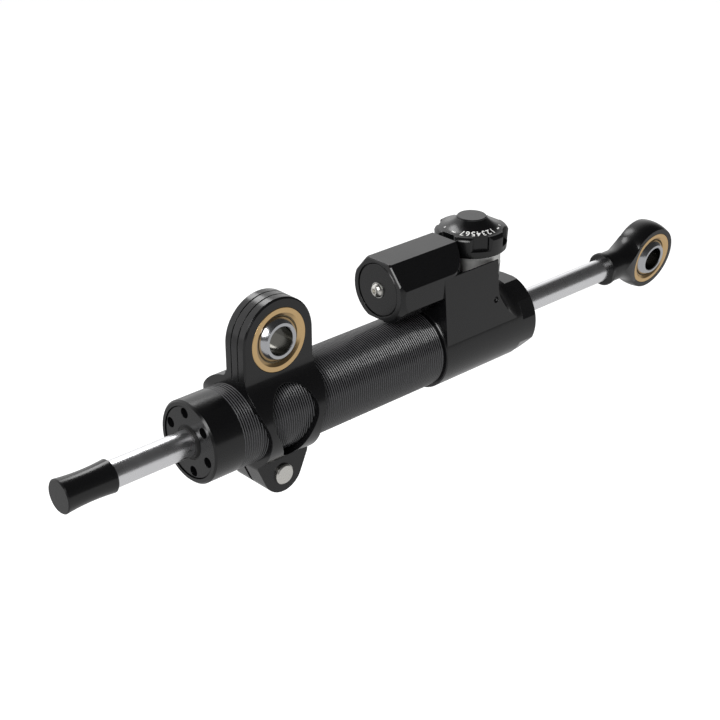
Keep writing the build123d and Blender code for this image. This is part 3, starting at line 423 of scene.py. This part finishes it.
# Each dash is its angle and its width, in degrees round the knob, and its height
DASHES = ((-176.0, 10.0, 0.55), (-65.0, 10.0, 0.55), (152.0, 3.4, 0.8), (-47.0, 3.4, 0.8))


def circle_through(a, b, c):
    """Centre and radius of the circle through three points of a profile."""
    four_areas = 2 * (a[0] * (b[1] - c[1]) + b[0] * (c[1] - a[1]) + c[0] * (a[1] - b[1]))
    squares = [p[0] ** 2 + p[1] ** 2 for p in (a, b, c)]
    x = squares[0] * (b[1] - c[1]) + squares[1] * (c[1] - a[1]) + squares[2] * (a[1] - b[1])
    y = squares[0] * (c[0] - b[0]) + squares[1] * (a[0] - c[0]) + squares[2] * (b[0] - a[0])
    x, y = x / four_areas, y / four_areas
    return (x, y), hypot(a[0] - x, a[1] - y)


CONE_CENTRE, CONE_CURVE = circle_through(CONE_FOOT, CONE_MIDDLE, CONE_TOP)


def cone_height(radius):
    """The height of the knob's hollow cone at a distance from the knob's axis."""
    return CONE_CENTRE[1] - sqrt(CONE_CURVE ** 2 - (radius - CONE_CENTRE[0]) ** 2)


def flat_text(text, size):
    """The outline of a piece of text as a filled flat mesh, centred, its foot on y 0."""
    curve = bpy.data.curves.new("dial_text", "FONT")
    curve.body = text
    curve.size = size
    curve.offset = DIGIT_BOLD
    curve.align_x = "CENTER"
    holder = bpy.data.objects.new("dial_text", curve)
    bpy.context.scene.collection.objects.link(holder)
    bpy.context.view_layer.update()
    mesh = bpy.data.meshes.new_from_object(holder)
    bpy.data.objects.remove(holder)
    return mesh


def flat_dash(width_degrees, height):
    """A plain bar, as flat text is, centred on the same height as the numbers."""
    half = radians(width_degrees) * DASH_R / 2
    foot = DASH_R - DIGIT_FOOT_R - height / 2
    mesh = bpy.data.meshes.new("dial_dash")
    corners = [(-half, foot, 0), (half, foot, 0), (half, foot + height, 0), (-half, foot + height, 0)]
    mesh.from_pydata(corners, [], [(0, 1, 2, 3)])
    return mesh


def printed(mesh, name, angle):
    """Lays a flat mesh on the cone at an angle round the knob, just proud of it, as a piece in ink."""
    work = bmesh.new()
    work.from_mesh(mesh)
    bmesh.ops.subdivide_edges(work, edges=work.edges, cuts=2, use_grid_fill=True)
    bmesh.ops.triangulate(work, faces=work.faces)
    for v in work.verts:
        radius = DIGIT_FOOT_R + v.co.y
        turn = angle - v.co.x / radius
        x = KNOB_AXIS[0] + radius * cos(turn)
        y = KNOB_AXIS[1] + radius * sin(turn)
        v.co = Vector((x, y, cone_height(radius) + INK_LIFT)) * MM
    work.to_mesh(mesh)
    work.free()
    piece = bpy.data.objects.new(name, mesh)
    bpy.context.scene.collection.objects.link(piece)
    piece.data.materials.append(ink)
    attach(piece, "knob")


ink = printed_white_ink()
last = len(DIAL_NUMBERS) - 1
for k, digit in enumerate(DIAL_NUMBERS):
    printed(flat_text(digit, DIGIT_SIZE), f"dial_number_{digit}", DIAL_END + DIAL_STEP * (last - k))
for k, (angle, width, height) in enumerate(DASHES):
    printed(flat_dash(width, height), f"dial_dash_{k + 1}", radians(angle))


# The camera: the photograph's view, with its place in millimetres in the part's frame
CAMERA_AT = (-311.08, -382.76, 235.24)
CAMERA_AZIMUTH = radians(-42.853)
CAMERA_ELEVATION = radians(26.477)
CAMERA_LENS = 76.87
SENSOR = 36.0


def set_camera():
    """The camera at its place, looking along its azimuth and down by its elevation."""
    level = cos(CAMERA_ELEVATION)
    look = Vector((-sin(CAMERA_AZIMUTH) * level, cos(CAMERA_AZIMUTH) * level, -sin(CAMERA_ELEVATION)))
    data = bpy.data.cameras.new("camera")
    data.lens = CAMERA_LENS
    data.sensor_width = SENSOR
    data.clip_start = 0.01
    camera = bpy.data.objects.new("camera", data)
    camera.location = Vector(CAMERA_AT) * MM
    camera.rotation_euler = look.to_track_quat("-Z", "Y").to_euler()
    bpy.context.scene.collection.objects.link(camera)
    bpy.context.scene.camera = camera


PART_MIDDLE = (80, 0, 0)


def soft_light(name, at, size, watts):
    """A soft round lamp at a place in millimetres, aimed at the middle of the part."""
    data = bpy.data.lights.new(name, "AREA")
    data.shape = "DISK"
    data.size = size * MM
    data.energy = watts
    lamp = bpy.data.objects.new(name, data)
    lamp.location = Vector(at) * MM
    lamp.rotation_euler = (Vector(PART_MIDDLE) - Vector(at)).to_track_quat("-Z", "Y").to_euler()
    bpy.context.scene.collection.objects.link(lamp)


# The studio. Its levels are 1 for white, and its heights and walls in a reflection are parts of a
# direction of length 1.
FLOOR_DROP = 140        # the floor, in millimetres below the part's origin
FLOOR_HALF = 2500       # half its width
FLOOR_IN_GLOSS = 0.62   # the floor, in a reflection
FLOOR_LIFT = 0.45       # added to what the camera sees of the floor, which makes it white
BACK_WALL = 1.05        # the white wall behind the part, in a reflection
DARK_SIDE = 0.04        # the unlit side of the studio, in front and above
DARK_FOOT = 0.12        # the same, at the horizon
DARK_HEIGHT = 0.6       # how far up a direction points where the dark side is darkest
WALL_FROM = 0.24        # how far back a direction points where the wall begins
WALL_FULL = 0.66        # and where it is full
HORIZON = 0.02          # half the soft band between the floor and the room
ROOM_LEVEL = 0.6        # the even light of the room on the part


def ray_kinds(tree):
    """Two values: 1 on rays from the camera, and 1 on rays that leave a glossy or clear surface."""
    path = add(tree, "LightPath")
    mirrored = add(tree, "Math", {0: path.outputs["Is Glossy Ray"], 1: path.outputs["Is Transmission Ray"]},
                   operation="MAXIMUM")
    return path.outputs["Is Camera Ray"], mirrored.outputs[0]


def pale_floor():
    """A plain pale floor well below the part, lifted to white for the camera, which still sees the
    part's soft shadow on it."""
    mesh = bpy.data.meshes.new("floor")
    low = -FLOOR_DROP * MM
    half = FLOOR_HALF * MM
    corners = [(-half, -half, low), (half, -half, low), (half, half, low), (-half, half, low)]
    mesh.from_pydata(corners, [], [(0, 1, 2, 3)])
    floor = bpy.data.objects.new("floor", mesh)
    bpy.context.scene.collection.objects.link(floor)
    material = bpy.data.materials.new("floor_white")
    material.use_nodes = True
    tree = material.node_tree
    tree.nodes.remove(tree.nodes["Principled BSDF"])
    by_camera, mirrored = ray_kinds(tree)
    plain = add(tree, "BsdfDiffuse", {"Color": linear("#f2f2f2")})
    lift = add(tree, "Math", {0: by_camera, 1: FLOOR_LIFT}, operation="MULTIPLY")
    glow = add(tree, "Emission", {"Color": WHITE, "Strength": lift.outputs[0]})
    lifted = add(tree, "AddShader", {0: plain.outputs[0], 1: glow.outputs[0]})
    gloss = add(tree, "Emission", {"Color": WHITE, "Strength": FLOOR_IN_GLOSS})
    both = add(tree, "MixShader", {0: mirrored, 1: lifted.outputs[0], 2: gloss.outputs[0]})
    tree.links.new(both.outputs[0], tree.nodes["Material Output"].inputs["Surface"])
    mesh.materials.append(material)


def white_room():
    """The studio round the part: white to the camera, plain to the part, and in a reflection a
    white wall at the back, a dark side in front and above, and the pale floor below."""
    world = bpy.data.worlds.new("room")
    bpy.context.scene.world = world
    world.use_nodes = True
    tree = world.node_tree
    way = add(tree, "SeparateXYZ", {"Vector": add(tree, "TexCoord").outputs["Generated"]})
    dark = add(tree, "MapRange", {"Value": way.outputs["Z"], "From Min": 0.0, "From Max": DARK_HEIGHT,
                                  "To Min": DARK_FOOT, "To Max": DARK_SIDE})
    wall = add(tree, "MapRange", {"Value": way.outputs["Y"], "From Min": WALL_FROM, "From Max": WALL_FULL,
                                  "To Min": dark.outputs["Result"], "To Max": BACK_WALL},
               interpolation_type="SMOOTHSTEP")
    floor = add(tree, "MapRange", {"Value": way.outputs["Z"], "From Min": -HORIZON, "From Max": HORIZON,
                                   "To Min": FLOOR_IN_GLOSS, "To Max": 0.0})
    around = add(tree, "Math", {0: wall.outputs["Result"], 1: floor.outputs["Result"]}, operation="MAXIMUM")
    by_camera, mirrored = ray_kinds(tree)
    plain = add(tree, "Mix", {0: mirrored, 2: ROOM_LEVEL, 3: around.outputs[0]})
    level = add(tree, "Mix", {0: by_camera, 2: plain.outputs[0], 3: 1.0})
    back = tree.nodes["Background"]
    back.inputs["Color"].default_value = WHITE
    tree.links.new(level.outputs[0], back.inputs["Strength"])


set_camera()
pale_floor()
white_room()
soft_light("key", at=(-460, -230, 370), size=380, watts=2.6)
soft_light("top_back", at=(165, 350, 400), size=220, watts=0.6)
bpy.context.scene.view_settings.view_transform = "Standard"
